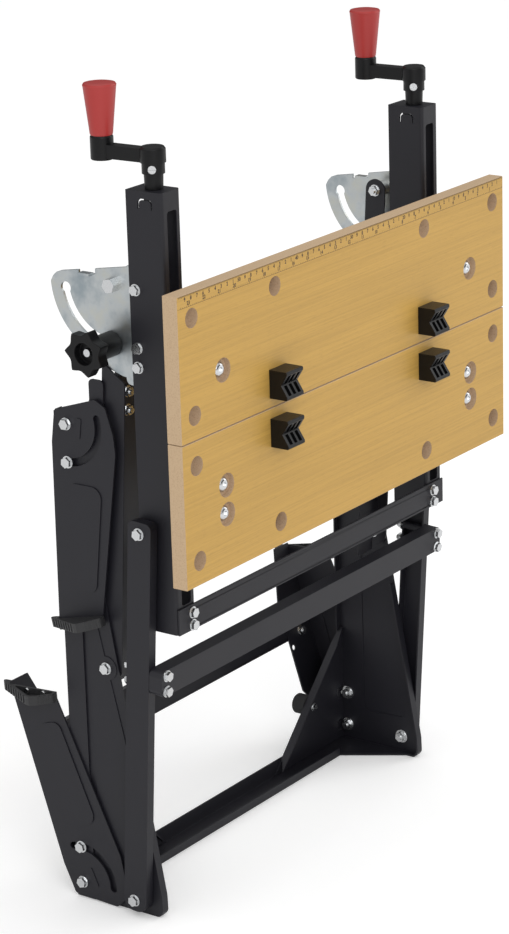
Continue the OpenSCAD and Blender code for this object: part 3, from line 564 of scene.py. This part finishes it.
def add_floor(scene, lift):
    """White floor; the camera sees it a little lighter than it is lit."""
    mesh = bpy.data.meshes.new("Floor")
    h = FLOOR_SIZE / 2
    mesh.from_pydata([(-h, -h, 0), (h, -h, 0), (h, h, 0), (-h, h, 0)], [], [(0, 1, 2, 3)])
    floor = bpy.data.objects.new("Floor", mesh)
    floor.location.z = -0.5 * MM
    scene.collection.objects.link(floor)
    mat, g, shader = new_material("White floor")
    shader.inputs["Base Color"].default_value = (0.95, 0.95, 0.95, 1)
    shader.inputs["Roughness"].default_value = 1.0
    shader.inputs["Specular IOR Level"].default_value = 0.0
    shader.inputs["Emission Color"].default_value = (1, 1, 1, 1)
    path = g.add("ShaderNodeLightPath")
    seen = g.add("ShaderNodeMath", {0: path.outputs["Is Camera Ray"], 1: lift}, operation="MULTIPLY")
    g.link(seen.outputs[0], shader.inputs["Emission Strength"])
    mesh.materials.append(mat)


def add_room(scene, strength):
    """White to the camera, a soft sky to the surfaces, and a darker room to mirrored rays."""
    world = bpy.data.worlds.new("Studio")
    scene.world = world
    world.use_nodes = True
    world.node_tree.nodes.clear()
    g = Graph(world.node_tree)
    path = g.add("ShaderNodeLightPath")
    way = g.add("ShaderNodeSeparateXYZ", {"Vector": g.add("ShaderNodeTexCoord").outputs["Generated"]})
    # a bright band overhead and a glow from the left give bright metal its contrast
    high = g.add("ShaderNodeMapRange", {"Value": way.outputs["Z"], "From Min": 0.34, "From Max": 0.8,
                                        "To Min": 0.1, "To Max": 0.95})
    aside = g.add("ShaderNodeMapRange", {"Value": way.outputs["X"], "From Min": 0.2, "From Max": -0.9,
                                         "To Min": 0.0, "To Max": 0.5})
    room = g.add("ShaderNodeMath", {0: high.outputs[0], 1: aside.outputs[0]}, operation="ADD")
    # soft light comes a little more from above than from the sides
    height = g.add("ShaderNodeMapRange", {"Value": way.outputs["Z"], "To Min": 0.78, "To Max": 1.4})
    sky = g.add("ShaderNodeMath", {0: height.outputs[0], 1: strength}, operation="MULTIPLY")
    soft = g.add("ShaderNodeMix", {0: path.outputs["Is Glossy Ray"], 2: sky.outputs[0], 3: room.outputs[0]})
    seen = g.add("ShaderNodeMix", {0: path.outputs["Is Camera Ray"], 2: soft.outputs[0], 3: 1.0})
    back = g.add("ShaderNodeBackground", {"Color": (1, 1, 1, 1), "Strength": seen.outputs[0]})
    out = g.add("ShaderNodeOutputWorld")
    g.link(back.outputs[0], out.inputs["Surface"])


def add_camera(scene):
    """The camera that was fitted to the photograph."""
    data = bpy.data.cameras.new("Camera")
    data.sensor_fit = "HORIZONTAL"
    data.sensor_width = SENSOR
    data.lens = FOCAL_PX / PHOTO_WIDTH * SENSOR
    data.clip_start, data.clip_end = 0.1, 60
    cam = bpy.data.objects.new("Camera", data)
    a, e, r = (math.radians(angle) for angle in CAMERA_TURNS)
    back = Vector((math.sin(a) * math.cos(e), -math.cos(a) * math.cos(e), math.sin(e)))
    right = (-back).cross(Vector((0, 0, 1))).normalized()
    up = right.cross(-back)
    right, up = right * math.cos(r) + up * math.sin(r), up * math.cos(r) - right * math.sin(r)
    cam.matrix_world = Matrix.Translation(CAMERA_PLACE) @ Matrix((right, up, back)).transposed().to_4x4()
    scene.collection.objects.link(cam)
    scene.camera = cam


class WORKBENCH_OT_stage(bpy.types.Operator):
    """Builds the white floor, the lamps and the camera"""
    bl_idname = "workbench.stage"
    bl_label = "Stage and camera"

    def execute(self, context):
        scene, stage = context.scene, context.scene.bench_stage
        add_floor(scene, stage.floor_lift)
        add_area("Key", (-2.6, -2.6, 2.3), (2.0, 2.0), stage.key_power)
        add_area("Fill", (2.8, -1.6, 1.6), (1.6, 2.2), stage.fill_power)
        add_room(scene, stage.ambient)
        add_camera(scene)
        scene.view_settings.view_transform = "Standard"
        return {"FINISHED"}


class WORKBENCH_PT_panel(bpy.types.Panel):
    """Lists the steps and their settings"""
    bl_idname = "WORKBENCH_PT_panel"
    bl_label = "Folding workbench"
    bl_space_type = "VIEW_3D"
    bl_region_type = "UI"
    bl_category = "Workbench"

    def draw(self, context):
        for group in (context.scene.bench_colours, context.scene.bench_scale, context.scene.bench_stage):
            for name in group.__annotations__:
                self.layout.prop(group, name)
        for step in STEPS:
            self.layout.operator(step.bl_idname)


STEPS = (WORKBENCH_OT_finishes, WORKBENCH_OT_frame, WORKBENCH_OT_fasteners, WORKBENCH_OT_quadrants,
         WORKBENCH_OT_mouldings, WORKBENCH_OT_boards, WORKBENCH_OT_scale, WORKBENCH_OT_stage)
CLASSES = (BenchColours, ScaleSettings, StageSettings, *STEPS, WORKBENCH_PT_panel)


def register():
    for cls in CLASSES:
        bpy.utils.register_class(cls)
    bpy.types.Scene.bench_colours = PointerProperty(type=BenchColours)
    bpy.types.Scene.bench_scale = PointerProperty(type=ScaleSettings)
    bpy.types.Scene.bench_stage = PointerProperty(type=StageSettings)


def unregister():
    del bpy.types.Scene.bench_stage
    del bpy.types.Scene.bench_scale
    del bpy.types.Scene.bench_colours
    for cls in reversed(CLASSES):
        bpy.utils.unregister_class(cls)


def main():
    register()
    bpy.ops.workbench.finishes()
    bpy.ops.workbench.frame()
    bpy.ops.workbench.fasteners()
    bpy.ops.workbench.quadrants()
    bpy.ops.workbench.mouldings()
    bpy.ops.workbench.boards()
    bpy.ops.workbench.scale()
    bpy.ops.workbench.stage()


if __name__ == "__main__":
    main()
